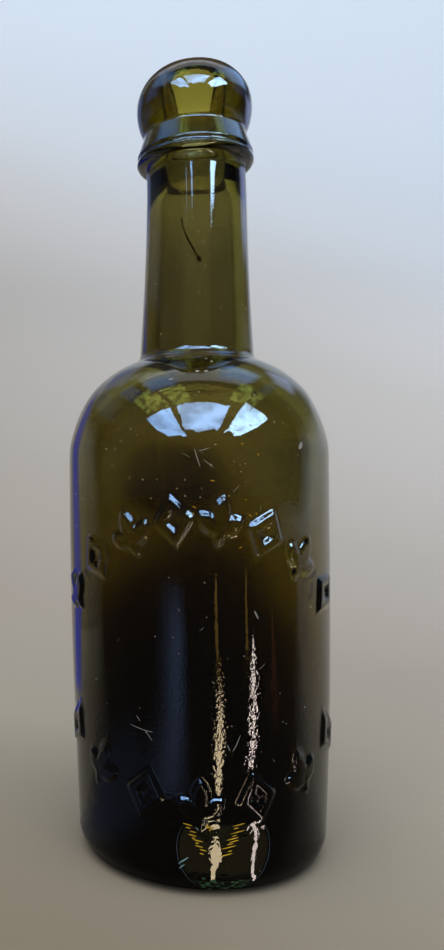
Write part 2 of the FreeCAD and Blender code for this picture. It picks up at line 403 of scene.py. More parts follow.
# Glass: olive at the lip and neck, browner on the shoulder, nearly black low down. The tints by
# height are the glass's olive with painted light and shade: the lighter lip and neck top and the
# bluish collar are painted light, the near black body and foot are painted shade. Stops are
# (part of tall, tint), other places are in metres
look = {
    "tintsAndPaintedLight": {
        "lip": (0.70, 0.62, 0.26), "collar": (0.52, 0.53, 0.62), "neckTop": (0.62, 0.58, 0.50),
        "neck": (0.48, 0.455, 0.43), "shoulder": (0.60, 0.56, 0.46), "ornament": (0.50, 0.43, 0.26),
        "body": (0.15, 0.115, 0.065), "low": (0.05, 0.04, 0.03),
    },
    "stops": (
        (0.0, "low"), (0.2, "low"), (0.32, "body"), (0.42, "ornament"), (0.52, "shoulder"),
        (0.62, "neck"), (0.74, "neck"), (0.80, "neckTop"), (0.845, "neckTop"), (0.865, "collar"),
        (0.90, "collar"), (0.925, "lip"),
    ),
    "tall": 0.2, "absorb": (0.606, 0.56, 0.02), "absorbDensity": 330.0,
    "roughness": 0.012, "ior": 1.52,
    # the lifts to the sides and to the right are painted light
    "sidePaintedLight": 32.0, "rightPaintedLight": 1.2, "liftBelow": 0.1, "swirlScale": 26.0, "swirlLift": 0.2,
    "blotchAt": (-0.006, -0.031, 0.091), "blotchSize": (0.019, 0.02, 0.013), "blotchDepth": 0.12,
    "grainScale": 1400.0, "grainDepth": 0.000045,
    "grainHigh": 0.16, "grainFade": (0.046, 0.056), "grainFoot": 0.45, "grainRise": (0.014, 0.034),
    "waveScale": 90.0, "waveDepth": 0.00012, "waveStretch": (1, 1, 0.25),
}


def spot(tree, place, centre, size, at):
    # mask of a soft oval: 1 within 0.4 of its size, 0 outside it
    x, y = at
    away = node(tree, "ShaderNodeVectorMath", (x, y), {0: place, 1: centre}, operation="SUBTRACT")
    scaled = node(tree, "ShaderNodeVectorMath", (x + 200, y), {0: away.outputs[0], 1: size},
                  operation="DIVIDE")
    far = node(tree, "ShaderNodeVectorMath", (x + 400, y), {0: scaled.outputs[0]},
               operation="LENGTH")
    return fromTo(tree, (x + 600, y), far.outputs["Value"], 1.0, 0.4, 0.0, 1.0,
                  interpolation_type="SMOOTHSTEP")


def tintAndPaintedLightHeight(t, place, x, z):
    # z / tall + lift * x^2 + swirl, with a darker brown patch under the shoulder and lighter to the
    # right, both lifts only low down. Lighter to the sides and to the right is painted light
    k = look
    below = mathChain(t, (-1300, -320), z, ("LESS_THAN", k["liftBelow"]))
    side = mathChain(t, (-1300, -150), x, ("MULTIPLY", x), ("MULTIPLY", k["sidePaintedLight"] / k["tall"]),
                     ("MULTIPLY", below))
    swirl = node(t, "ShaderNodeTexNoise", (-1300, -450),
                 {"Scale": k["swirlScale"], "Detail": 3.0, "Vector": place})
    sway = mathChain(t, (-1100, -450), swirl.outputs["Fac"], ("SUBTRACT", 0.5),
                     ("MULTIPLY", k["swirlLift"]))
    blotch = spot(t, place, k["blotchAt"], k["blotchSize"], (-1700, 500))
    blotch = mathChain(t, (-900, 400), blotch, ("MULTIPLY", -k["blotchDepth"]))
    lean = mathChain(t, (-1100, 250), x, ("MULTIPLY", k["rightPaintedLight"]), ("MULTIPLY", below))
    return mathChain(t, (-1300, 0), z, ("MULTIPLY", 1 / k["tall"]), ("ADD", side), ("ADD", sway),
                     ("ADD", blotch), ("ADD", lean))


def glassSurface(t, place, z):
    # slow hand-made waves, and grain from the mould that is strong low on the body only
    k = look
    stretch = node(t, "ShaderNodeMapping", (-900, -950), {"Scale": k["waveStretch"], "Vector": place})
    wave = node(t, "ShaderNodeTexNoise", (-700, -950),
                {"Scale": k["waveScale"], "Detail": 1.0, "Vector": stretch.outputs[0]})
    slow = node(t, "ShaderNodeBump", (-450, -950),
                {"Distance": k["waveDepth"], "Height": wave.outputs["Fac"]})
    grain = node(t, "ShaderNodeTexNoise", (-700, -700),
                 {"Scale": k["grainScale"], "Detail": 1.0, "Vector": place})
    fade = fromTo(t, (-450, -600), z, *k["grainFade"], 1.0, k["grainHigh"])
    foot = fromTo(t, (-450, -350), z, *k["grainRise"], k["grainFoot"], 1.0)
    fine = node(t, "ShaderNodeBump", (-200, -700), {
        "Strength": mathChain(t, (-300, -450), fade, ("MULTIPLY", foot)), "Distance": k["grainDepth"],
        "Height": grain.outputs["Fac"], "Normal": slow.outputs[0]})
    return fine.outputs[0]


def oliveGlass():
    k = look
    m, t, shader = newMaterial("oliveGlass", {
        "Transmission Weight": 1.0, "IOR": k["ior"], "Roughness": k["roughness"]})
    place = node(t, "ShaderNodeTexCoord", (-1700, 0)).outputs["Object"]
    split = node(t, "ShaderNodeSeparateXYZ", (-1500, 0), {0: place})
    x, z = split.outputs["X"], split.outputs["Z"]
    # tints by height: painted light at the lip, neck top and collar, painted shade low on the body
    stops = [(p, k["tintsAndPaintedLight"][name]) for p, name in k["stops"]]
    tintAndPaintedLight = colourRamp(t, (-300, 0), tintAndPaintedLightHeight(t, place, x, z), stops)
    t.links.new(tintAndPaintedLight, shader.inputs["Base Color"])
    t.links.new(glassSurface(t, place, z), shader.inputs["Normal"])
    volume = node(t, "ShaderNodeVolumeAbsorption", (0, -400),
                  {"Color": (*k["absorb"], 1), "Density": k["absorbDensity"]})
    t.links.new(volume.outputs[0], t.nodes["Material Output"].inputs["Volume"])
    return m


def buildGlass():
    # the profile turned about z, (r sin a, -r cos a, z), with ornament, chip and faults on it
    g = glass
    right = np.radians(stepped(0, 180, g["columnSteps"]))
    columns = np.r_[right, -right[-2:0:-1]] % (2 * np.pi)
    body = profile[1:-1]
    # outward normals of the profile, (dz, -dr)
    slope = np.gradient(body, axis=0)
    normal = np.c_[slope[:, 1], -slope[:, 0]] / np.hypot(*slope.T)[:, None]
    radius = np.repeat(body[:, :1], len(columns), 1)
    height = np.repeat(body[:, 1:], len(columns), 1)
    angle = np.repeat(columns[None], len(body), 0)
    wrapped = (angle + np.pi) % (2 * np.pi) - np.pi
    outer = np.zeros(radius.shape, bool)
    outer[:outsideCount - 1] = True
    sideZone = outer & (height > heelTop + relief["clearOfHeel"])
    sideZone = sideZone & (height < g["shoulderHeight"] - relief["clearOfShoulder"])
    radius = radius + np.where(sideZone, ornamentHeight(wrapped * radius, height), 0)
    radius = radius - shoulderDip(height) * outer
    chipZone = outer & (height > chip["zoneLow"]) & (height < chip["zoneTop"])
    chipZone = chipZone & (radius > chip["zoneInside"])
    sunk = np.where(chipZone, chipDepth(wrapped, radius, height), 0)
    radius, height = radius - sunk * normal[:, :1], height - sunk * normal[:, 1:]
    turned = np.stack([radius * np.sin(angle), -radius * np.cos(angle), height], -1)
    ends = np.array([[0, 0, profile[0][1]], [0, 0, profile[-1][1]]])
    verts = np.vstack([handMade(turned.reshape(-1, 3)), ends]) / 1000
    rows, cols = len(body), len(columns)
    i, j = np.meshgrid(np.arange(rows - 1), np.arange(cols), indexing="ij")
    k = (j + 1) % cols
    quads = np.stack([i * cols + j, i * cols + k, (i + 1) * cols + k, (i + 1) * cols + j], -1)
    quads = quads.reshape(-1, 4)
    # fans close the foot's middle and the floor's middle
    c = np.arange(cols)
    n = (c + 1) % cols
    first = np.c_[np.full(cols, rows * cols), n, c]
    last = (rows - 1) * cols
    final = np.c_[np.full(cols, rows * cols + 1), last + c, last + n]
    faces = quads.tolist() + first.tolist() + final.tolist()
    obj = addMesh("bottleGlass", verts.tolist(), faces, oliveGlass())
    obj.data.shade_smooth()
    print("glass triangles", len(quads) * 2 + cols * 2)
    return obj


bottleGlass = buildGlass()
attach(bottleGlass, "root")
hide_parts("bottle")

# Marks on the glass, at (degrees from the front, height in mm), each with its width first.
# Tones are (colour, roughness, how far it covers)
marks = {
    "pale": (
        (0.13, (-0.8, 97.7), (0.2, 95.7), (1.4, 93.6)), (0.11, (0.7, 97.1), (2.6, 97.3), (5.2, 97.8)),
        (0.09, (2.5, 95.3), (6.8, 93.2)), (0.12, (-28.7, 36.3), (-23, 35.6), (-18.5, 35.4)),
        (0.12, (-22.3, 35.8), (-19, 33.4)), (0.12, (-25.8, 38.6), (-24.1, 37.4)),
        (0.3, (21.8, 62.3), (22.7, 61.4), (23.5, 60.5)), (0.12, (15.7, 35.6), (14.1, 33.5), (12.5, 32.0)),
        (0.12, (10.5, 33.6), (11.6, 32.2)), (0.35, (-0.6, 115.6), (1.6, 115.7)),
        (0.3, (4.0, 115.6), (6.2, 115.7)), (0.25, (-13.6, 113.7), (-11.2, 113.9)),
        # the widest pale mark, from 44 to 46 degrees on the shoulder, is a painted highlight on a small
        # blister
        (0.1, (14, 101.2), (19, 101.9)), (1.00, (44.3, 97.7), (45.3, 98.4), (46.3, 99.3)),
    ),
    # gold: painted glints of golden light, about the ornament
    "gold": (
        (0.20, (5.1, 90.7), (6.9, 90.5)), (0.16, (-1.7, 85.1), (-0.2, 84.7)),
        (0.14, (-1.4, 83.8), (-1.0, 83.0)), (0.16, (20.0, 83.3), (21.2, 82.7)),
        (0.14, (13.7, 80.5), (14.8, 79.9)), (0.14, (17.1, 98.5), (18.3, 98.8)),
        (0.12, (23.9, 96.6), (24.3, 96.0)), (0.12, (18.5, 86.4), (19.2, 86.6)),
        (0.14, (15.9, 76.0), (17.1, 76.2)), (0.12, (22.9, 83.7), (23.3, 83.1)),
    ),
    # dark: a streak across the neck's front, and a short dark line under the collar at 42 degrees
    "dark": (
        (0.5, (-14.3, 152.7), (-9, 149.8), (-3, 147.2), (1.5, 145.2)), (1.1, (1.2, 145.6), (4.2, 144.0)),
        (0.9, (41.5, 167.4), (43.5, 168.2)), (0.35, (-16.5, 155.5), (-14.3, 152.7)),
    ),
    "rimGlints": (
        (0.26, (-9.2, 7.3), (-6.8, 8.2), (-5.0, 8.9)), (0.2, (-8.8, 6.3), (-6.6, 7.3)),
        (0.16, (-2.2, 15.6), (-0.8, 14.9)),
    ),
    # each lobe of barbs: from, to, and half a stroke
    "barbLobes": (
        ((-5.2, 15.9), (0.8, 10.0), (2.0, -0.22)), ((15.2, 16.0), (10.4, 9.8), (-3.0, -0.36)),
        ((1.0, 16.5), (4.0, 15.2), (0.9, 0.1)),
    ),
    "barbCount": 10, "barbWidth": 0.24,
    "rimArcs": ((-62, 30), (150, 238)), "rimInset": 0.5, "rimWidth": 0.16,
    # the chip's sheets and mottles are painted light seen through its thin glass
    "filmLow": 0.9, "paintedLightTop": 16.2, "filmTop": 3.6, "filmInset": 1.0, "filmLift": 0.02,
    "mottles": 34, "mottleSpan": (0.5, 18.5), "mottleHeights": (0.9, 3.9), "mottleRise": 0.012,
    "mottleWidths": (0.25, 0.6), "mottleBack": (0.5, 1.4), "mottleAhead": 0.9, "mottleTilt": 0.4,
    "hairlines": 11, "hairSpan": (-38, 40), "hairHeights": (28, 98), "hairTurns": (0.2, 2.9),
    "hairHalves": (0.4, 1.2), "hairWidth": 0.05, "hairBend": 0.3,
    "pits": 150, "pitLow": 0.09, "pitHigh": 0.2, "pitSpan": 68, "pitBody": (86, 112),
    "pitAll": (26, 168), "lift": 0.03,
    "neckFrom": 110, "bodyTurn": 30, "neckTurn": 13,
    "tones": {
        "paleScratchesAndGlint": ((0.30, 0.31, 0.33), 0.5, 1.0), "darkMarks": ((0.012, 0.008, 0.003), 0.6, 1.0),
        "paintedGoldGlints": ((0.45, 0.27, 0.02), 0.5, 1.0), "chipPaintedLight": ((0.30, 0.26, 0.12), 0.5, 0.04),
        "chipFootPaintedLight": ((0.10, 0.22, 0.13), 0.5, 0.16), "chipBarbGlints": ((0.62, 0.40, 0.03), 0.5, 1.0),
        "chipMottlesPaintedLight": ((0.055, 0.13, 0.07), 0.5, 1.0), "chipRimHighlight": ((0.045, 0.06, 0.075), 0.5, 1.0),
        "rimGlints": ((0.22, 0.42, 0.46), 0.5, 1.0), "palePits": ((0.30, 0.29, 0.24), 0.5, 1.0),
    },
}


def turnRadius(z):
    # the radius that turns millimetres across into degrees
    return marks["bodyTurn"] if z < marks["neckFrom"] else marks["neckTurn"]


def onGlass(angle, z, lift):
    # points on the outside, from angles in degrees: pushed out by lift along the profile's
    # normal, and down into the flake
    side = profile[heelRow:outsideCount]
    slope = np.gradient(side, axis=0)
    slope /= np.hypot(*slope.T)[:, None]
    across, up, radius = (np.interp(z, side[:, 1], v) for v in (slope[:, 1], -slope[:, 0], side[:, 0]))
    a = np.radians(angle)
    push = lift - np.where(z < chip["zoneTop"], chipDepth(a, radius, z), 0)
    radius, z = radius - shoulderDip(z) + push * across, z + push * up
    return handMade(np.c_[radius * np.sin(a), -radius * np.cos(a), z]) / 1000


def ribbon(width, *points):
    # a thin strip, width * sqrt(sin(pi t)) wide: sideways is along, turned by a right angle
    p = np.array(points, float)
    t = np.linspace(0, len(p) - 1, 4 * (len(p) - 1) + 1)
    angle, z = (np.interp(t, range(len(p)), column) for column in p.T)
    radius = turnRadius(z.mean())
    along = np.gradient(np.c_[np.radians(angle) * radius, z], axis=0)
    along /= np.hypot(*along.T)[:, None]
    half = width / 2 * np.sqrt(np.clip(np.sin(np.pi * t / t[-1]), 0.04, 1))
    turn, rise = np.degrees(along[:, 1] * half / radius), along[:, 0] * half
    rows = [onGlass(angle - sign * turn, z + sign * rise, marks["lift"]) for sign in (-1, 1)]
    n = len(t)
    return np.vstack(rows), [(i, i + 1, n + i + 1, n + i) for i in range(n - 1)]


def hairlines():
    # the finest scratches: short lines, a little bent, strewn over the front of the body
    k = marks
    rng = np.random.default_rng(5)
    for i in range(k["hairlines"]):
        a, z = rng.uniform(*k["hairSpan"]), rng.uniform(*k["hairHeights"])
        turn, half = rng.uniform(*k["hairTurns"]), rng.uniform(*k["hairHalves"])
        da, dz = np.degrees(half * math.cos(turn) / glass["bodyRadius"]), half * math.sin(turn)
        yield ribbon(k["hairWidth"], (a - da, z - dz), (a + k["hairBend"], z), (a + da, z + dz))


def barbs():
    # a feather of short strokes down each lobe of the chip, uneven in length and place: painted golden
    # glints on the barbs
    n = marks["barbCount"]
    for (a0, z0), (a1, z1), (da, dz) in marks["barbLobes"]:
        for i in range(n):
            t, grow = i / (n - 1), 0.65 + 0.35 * math.sin(2.6 * i + a0)
            a = a0 + (a1 - a0) * t + 0.7 * math.sin(4.1 * i)
            z = z0 + (z1 - z0) * t + 0.16 * math.cos(5.3 * i)
            ends = (a - da * grow, z - dz * grow), (a + da * grow, z + dz * grow)
            yield ribbon(marks["barbWidth"], *ends)


def mottles():
    # short strokes along the chip's foot, which rises to both sides: painted light seen through the chip's
    # thin glass
    k = marks
    rng = np.random.default_rng(11)
    for i in range(k["mottles"]):
        a, z = rng.uniform(*k["mottleSpan"]), rng.uniform(*k["mottleHeights"])
        z += k["mottleRise"] * (a - chip["angle"]) ** 2
        width = rng.uniform(*k["mottleWidths"])
        start = (a - rng.uniform(*k["mottleBack"]), z + rng.uniform(-k["mottleTilt"], k["mottleTilt"]))
        yield ribbon(width, start, (a + k["mottleAhead"], z))


def aroundChip(across):
    # degrees from the front, for millimetres across from the flake's middle
    return chip["angle"] + np.degrees(np.arcsin(across / chip["wallRadius"]))


def chipRimHighlight():
    # two thin lines on the flake's outline, one down each side: painted faint bluish highlights on the rim
    radius = chip["radius"] - marks["rimInset"]
    for low, high in marks["rimArcs"]:
        turn = np.radians(np.linspace(low, high, 7))
        angle = aroundChip(radius * np.cos(turn))
        yield ribbon(marks["rimWidth"], *zip(angle, chip["height"] + radius * np.sin(turn)))


def chipLightSheet(top):
    # rings about the flake's middle, kept below top: a sheet lying on it, with painted light seen through
    # the chip's thin glass
    rings = np.linspace(0.05, chip["radius"] - marks["filmInset"], 9)
    turn = np.linspace(0, 2 * np.pi, 33)[:-1]
    across, z = (rings[:, None] * f(turn) for f in (np.cos, np.sin))
    z = np.clip(z + chip["height"], marks["filmLow"], top)
    points = onGlass(aroundChip(across).ravel(), z.ravel(), marks["filmLift"])
    n = len(turn)
    return points, [(i * n + j, i * n + (j + 1) % n, (i + 1) * n + (j + 1) % n, (i + 1) * n + j)
                    for i in range(len(rings) - 1) for j in range(n)]


def pits():
    # small six-sided specks scattered over the front, more of them on the shoulder's foot
    k = marks
    rng = np.random.default_rng(7)
    n = k["pits"]
    angle = rng.uniform(-k["pitSpan"], k["pitSpan"], n)
    z = np.r_[rng.uniform(*k["pitBody"], n // 2), rng.uniform(*k["pitAll"], n - n // 2)]
    size = k["pitLow"] + (k["pitHigh"] - k["pitLow"]) * rng.random(n) ** 3
    turn = np.linspace(0, 2 * np.pi, 7)[:-1]
    for a, h, r in zip(angle, z, size):
        around = a + np.degrees(r * np.cos(turn) / turnRadius(h))
        yield onGlass(around, h + r * np.sin(turn), k["lift"]), [tuple(range(6))]


def buildMarks(name, parts):
    # all parts, each (points, faces), as one mesh in the tone of their name
    color, roughness, cover = marks["tones"][name]
    verts, faces = [], []
    for points, quads in parts:
        start = sum(len(v) for v in verts)
        verts.append(points)
        faces += [tuple(start + k for k in q) for q in quads]
    m, t, shader = newMaterial(name + "Tone", {
        "Base Color": (*color, 1), "Roughness": roughness, "Specular IOR Level": 0.0, "Alpha": cover})
    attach(addMesh(name, np.vstack(verts).tolist(), faces, m), "root")


for name, parts in (
    ("paleScratchesAndGlint", [ribbon(*m) for m in marks["pale"]] + list(hairlines())),
    ("darkMarks", [ribbon(*m) for m in marks["dark"]]),
    ("paintedGoldGlints", [ribbon(*m) for m in marks["gold"]]),
    ("chipPaintedLight", [chipLightSheet(marks["paintedLightTop"])]), ("chipFootPaintedLight", [chipLightSheet(marks["filmTop"])]),
    ("chipBarbGlints", barbs()), ("chipMottlesPaintedLight", mottles()), ("chipRimHighlight", chipRimHighlight()),
    ("rimGlints", [ribbon(*m) for m in marks["rimGlints"]]), ("palePits", pits()),
):
    buildMarks(name, parts)
print("glass done")

# Stage: a pale floor that sweeps up behind, in metres, with painted shade darker towards the viewer
# and painted light lighter to the right and lighter and cooler high up. Its tones are (place,
# colour), the place being y + up z + across x
stage = {
    "size": 3.0, "back": 0.42, "sweep": 0.25, "roughness": 0.9, "shine": 0.05,
    "across": 0.6, "up": 1.6, "start": -0.6, "end": 1.3,
    "tones": (
        (-0.5, (0.16, 0.14, 0.105)), (-0.07, (0.206, 0.178, 0.132)), (0.06, (0.307, 0.283, 0.235)),
        (0.25, (0.326, 0.299, 0.267)), (0.47, (0.396, 0.380, 0.358)), (0.60, (0.465, 0.455, 0.452)),
        (0.74, (0.537, 0.541, 0.550)), (0.86, (0.641, 0.671, 0.724)), (0.96, (0.683, 0.765, 0.885)),
        (1.10, (0.685, 0.80, 0.96)),
    ),
}


def paleStage():
    s = stage
    m, t, shader = newMaterial("paleStage", {"Roughness": s["roughness"], "Specular IOR Level": s["shine"]})
    place = node(t, "ShaderNodeTexCoord", (-1300, 0)).outputs["Object"]
    split = node(t, "ShaderNodeSeparateXYZ", (-1100, 0), {0: place})
    # painted light and shade: lighter to the right and higher up, darker towards the viewer
    aside = mathChain(t, (-900, -250), split.outputs["X"], ("MULTIPLY", s["across"]))
    tone = mathChain(t, (-900, -100), split.outputs["Z"], ("MULTIPLY", s["up"]),
                     ("ADD", split.outputs["Y"]), ("ADD", aside))
    spread = fromTo(t, (-500, 0), tone, s["start"], s["end"], 0, 1)
    long = s["end"] - s["start"]
    stops = [((place - s["start"]) / long, color) for place, color in s["tones"]]
    t.links.new(colourRamp(t, (-300, 0), spread, stops), shader.inputs["Base Color"])
    # seen from behind, the backdrop lets the view through
    facing = node(t, "ShaderNodeNewGeometry", (-300, 300)).outputs["Backfacing"]
    clear = node(t, "ShaderNodeBsdfTransparent", (-100, 200)).outputs[0]
    mix = node(t, "ShaderNodeMixShader", (150, 200), {0: facing, 1: shader.outputs[0], 2: clear})
    t.links.new(mix.outputs[0], t.nodes["Material Output"].inputs["Surface"])
    return m


def buildStage():
    # floor, quarter circle and wall as one strip: y = y0 + R sin a, z = R (1 - cos a)
    s = stage
    a = np.linspace(0, np.pi / 2, 16)
    sweepFoot, half = s["back"] - s["sweep"], s["size"]
    y = np.r_[-half, -0.3, 0, sweepFoot + s["sweep"] * np.sin(a), s["back"]]
    z = np.r_[0, 0, 0, s["sweep"] * (1 - np.cos(a)), half]
    verts = [(x, yy, zz) for yy, zz in zip(y, z) for x in (-half, half)]
    faces = [(2 * i, 2 * i + 1, 2 * i + 3, 2 * i + 2) for i in range(len(y) - 1)]
    obj = addMesh("stageSweep", verts, faces, paleStage())
    obj.data.shade_smooth()


buildStage()

# Light: soft top and front lamps for the stage, and a sheen from above that only mirrors in
# the glass, each with its place, direction and size in metres. What the reflectors below share
# is here too, with lengths in millimetres
lights = {
    "lamps": {
        "top": ((0, -0.5, 1.5), (0, 0.3, -1), (2.0, 1.2), 3.8, (1.0, 0.99, 0.97)),
        "front": ((0, -1.3, 0.9), (0, 1, -0.25), (2.0, 1.2), 1.1, (1.0, 0.99, 0.97)),
    },
    "sheen": ((0, 0.25, 1.5), (0, -0.1, -1), (1.6, 0.8), 1.1, (0.85, 0.9, 1.0)), "stripRadiance": 11.5,
    "pinkRadiance": 22.0, "footRadiance": 13.0, "faintRadiance": 1.3, "stripZ": 1.2,
    "cardColor": (0.05, 0.042, 0.036), "cardXs": (-900, 900), "cardYs": (10, -30, -1400), "cardZ": 0.7,
    "world": (0.058, 0.066, 0.085), "paleWorld": (0.5, 0.5, 0.52),
}


def mirrorOnly(obj):
    # shows in reflections on the glass and lights nothing else
    obj.visible_camera = obj.visible_diffuse = obj.visible_transmission = False
    obj.visible_volume_scatter = obj.visible_shadow = False


def areaLight(name, at, towards, size, radiance, color):
    # power in watts = pi * area * radiance; the lamp shines along its own -Z
    light = bpy.data.lights.new(name, "AREA")
    light.shape = "RECTANGLE"
    light.size, light.size_y = size
    light.energy = math.pi * size[0] * size[1] * radiance
    light.color = color
    back = -np.array(towards, float) / np.linalg.norm(towards)
    up = np.array((0.0, 1.0, 0.0)) - back * back[1]
    up /= np.linalg.norm(up)
    turned = np.c_[np.cross(up, back), up, back].tolist()
    obj = addObject(name, light)
    obj.matrix_world = Matrix([(*row, t) for row, t in zip(turned, at)] + [(0, 0, 0, 1)])
    obj.visible_camera = False
    return obj


mirrorOnly(areaLight("sheen", *lights["sheen"]))
for name, lamp in lights["lamps"].items():
    areaLight(name, *lamp).visible_glossy = False


def mirrorSheet(name, points, glow, color, glows=True, cloud=None):
    # a thin sheet, its rows given as points from side to side, in millimetres
    columns = len(points[0])
    verts = [tuple(v / 1000 for v in point) for row in points for point in row]
    faces = [(i * columns + j, i * columns + j + 1, (i + 1) * columns + j + 1, (i + 1) * columns + j)
             for i in range(len(points) - 1) for j in range(columns - 1)]
    obj = addMesh(name, verts, faces, fadedMaterial(name + "Tone", color, glows, cloud))
    amounts = obj.data.attributes.new("glow", "FLOAT", "POINT").data
    amounts.foreach_set("value", np.array(glow, float).ravel())
    mirrorOnly(obj)


def patchesGroup():
    # soft patches: noise between 0.4 and 0.6 spread from Low to High
    group = bpy.data.node_groups.new("softPatches", "ShaderNodeTree")
    for name, way in (("Scale", "INPUT"), ("Low", "INPUT"), ("High", "INPUT"), ("Patches", "OUTPUT")):
        group.interface.new_socket(name=name, in_out=way, socket_type="NodeSocketFloat")
    given = node(group, "NodeGroupInput", (-600, 0)).outputs
    place = node(group, "ShaderNodeTexCoord", (-600, 200)).outputs["Object"]
    noise = node(group, "ShaderNodeTexNoise", (-400, 200),
                 {"Scale": given["Scale"], "Detail": 4.0, "Vector": place})
    patches = fromTo(group, (-200, 0), noise.outputs["Fac"], 0.40, 0.60, given["Low"], given["High"])
    node(group, "NodeGroupOutput", (0, 0), {0: patches})
    return group


softPatches = patchesGroup()


def fadedMaterial(name, color, glows, cloud):
    # the colour, as light or as a surface, mixed over clear by the glow attribute, and by soft
    # patches where cloud gives their scale and range
    m, t, shader = newMaterial(name, {})
    t.nodes.remove(shader)
    strength = max(1.0, *color) if glows else 1.0
    kind = "ShaderNodeEmission" if glows else "ShaderNodeBsdfDiffuse"
    plain = node(t, kind, (-200, -100), {"Color": (*(c / strength for c in color), 1)})
    if glows:
        plain.inputs["Strength"].default_value = strength
    clear = node(t, "ShaderNodeBsdfTransparent", (-200, 100)).outputs[0]
    amount = node(t, "ShaderNodeAttribute", (-400, 250), attribute_name="glow").outputs["Fac"]
    if cloud:
        patches = node(t, "ShaderNodeGroup", (-400, 500), dict(zip(("Scale", "Low", "High"), cloud)),
                       node_tree=softPatches)
        amount = mathChain(t, (-200, 300), amount, ("MULTIPLY", patches.outputs[0]))
    mix = node(t, "ShaderNodeMixShader", (50, 0), {0: amount, 1: clear, 2: plain.outputs[0]})
    t.links.new(mix.outputs[0], t.nodes["Material Output"].inputs["Surface"])
    return m


# The window high in front, its scale and height in millimetres. Each pane is (left, right, far
# edge, near edge, lean, unevenness of the far edge) in parts of the scale, then radiance, colour
# and (patch scale, low, high)
windowPlace = {"scale": 900.0, "height": 1000.0}
leaves = (2.72, (0.75, 1.0, 0.25), (9.0, 0.1, 1.0))
window = {
    "paneLeft": ((-0.96, -0.40, -2.1, -0.8, -0.12, 0.16), 21.85, (0.28, 0.53, 1.0), (2.6, 0.55, 1.0)),
    "paneMiddle": ((-0.33, 0.57, -1.7, -0.75, 0.0, 0.10), 23.75, (0.34, 0.58, 1.0), (2.6, 0.5, 1.0)),
    "paneRight": ((0.80, 1.5, -1.8, -0.5, 0.0, 0.16), 32.3, (0.42, 0.68, 1.0), (2.6, 0.5, 1.0)),
    "leavesLeft": ((-0.93, -0.50, -0.75, -0.15, -0.1, 0.05), *leaves),
    "leavesMiddle": ((-0.42, -0.12, -0.72, -0.25, -0.1, 0.05), *leaves),
    "leavesRight": ((0.50, 1.0, -0.6, 0.0, 0.0, 0.05), *leaves),
}


def windowPane(name, corners, radiance, color, cloud):
    # a leaning rectangle, its far edge uneven by sin(9u) + sin(23u) / 2
    x0, x1, y0, y1, lean, uneven = corners
    length = math.hypot(y1 - y0, lean)
    along = np.array((lean, y1 - y0)) / length
    across = np.array((along[1], -along[0]))
    centre = np.array(((x0 + x1) / 2, (y0 + y1) / 2))
    u = np.linspace(-0.5, 0.5, 9) * (x1 - x0)
    ragged = uneven * (np.sin(9.0 * u + 4 * x0) + 0.5 * np.sin(23 * u + x1))
    rows = []
    for v in (-0.5, -0.2, 0.5):
        place = centre + u[:, None] * across + (v * length + ragged * (v == -0.5))[:, None] * along
        rows.append([(*p, windowPlace["height"]) for p in place * windowPlace["scale"]])
    mirrorSheet(name, rows, [[1] * 9] * 3, [c * radiance for c in color], cloud=cloud)


for name, pane in window.items():
    windowPane(name, *pane)

# Bright and faint strips lying on the floor in front: colour, radiance, and rows from the left
# edge to the right edge, in millimetres, at the height stripZ
strips = {
    "stripGold": ((1.0, 0.80, 0.50), "stripRadiance", (
        ((55.7, -199.2), (56.5, -199.0)), ((51.0, -180.7), (52.9, -180.1)),
        ((42.4, -154.9), (45.8, -154.0)), ((30.8, -135.1), (40.9, -132.6)),
        ((22.8, -111.9), (31.6, -109.6)), ((17.8, -92.2), (24.1, -90.7)), ((15.9, -81.8), (19.4, -81.2)),
        ((12.6, -67.8), (15.3, -67.3)), ((11.5, -60.8), (13.1, -60.5)), ((10.8, -57.9), (11.7, -57.8)))),
    "stripGoldFoot": ((1.0, 0.80, 0.50), "stripRadiance", (
        ((7.8, -52.0), (8.4, -51.9)), ((5.0, -49.5), (9.5, -48.8)), ((3.9, -46.9), (9.7, -46.0)),
        ((4.0, -44.3), (8.9, -43.6)), ((4.4, -41.7), (7.3, -41.3)), ((3.4, -38.0), (5.1, -37.9)),
        ((2.8, -33.7), (3.9, -33.7)), ((2.5, -31.1), (3.3, -31.1)))),
    "stripGoldFaint": ((1.0, 0.62, 0.16), "faintRadiance", (
        ((128.4, -511.5), (139.2, -508.8)), ((96.4, -403.0), (110.3, -399.6)),
        ((59.7, -259.4), (70.2, -256.9)), ((47.8, -201.1), (54.5, -199.5)),
        ((44.0, -182.0), (47.0, -181.0)))),
    "stripPink": ((1.0, 0.84, 0.78), "pinkRadiance", (
        ((198.9, -205.6), (199.5, -204.9)), ((167.6, -177.3), (171.1, -174.0)),
        ((138.8, -150.0), (143.9, -145.0)), ((106.2, -120.2), (110.7, -116.1)),
        ((81.5, -98.5), (85.0, -95.3)), ((66.6, -86.5), (69.2, -84.4)), ((49.9, -73.7), (51.6, -72.3)))),
    "stripPinkFoot": ((1.0, 0.84, 0.78), "footRadiance", (
        ((42.2, -64.5), (44.6, -62.6)), ((36.1, -57.5), (38.1, -55.9)), ((34.0, -48.6), (35.5, -47.1)),
        ((29.6, -45.0), (31.1, -43.7)), ((24.6, -41.1), (26.1, -39.8)), ((20.1, -37.3), (21.2, -36.4)),
        ((15.9, -33.3), (16.3, -32.4)), ((12.3, -28.6), (12.6, -28.3)))),
    "stripOrange": ((1.0, 0.62, 0.16), "faintRadiance", (
        ((370.1, -454.6), (377.1, -449.1)), ((256.2, -326.3), (265.6, -318.6)),
        ((183.5, -232.4), (190.3, -227.1)), ((144.7, -182.0), (148.6, -178.9)))),
    "stripRed": ((0.26, 0.11, 0.07), "faintRadiance", (
        ((322.8, -177.3), (325.6, -171.9)), ((211.0, -124.2), (218.8, -110.3)),
        ((135.0, -85.7), (140.0, -76.8)), ((115.3, -73.4), (117.4, -69.7)))),
}
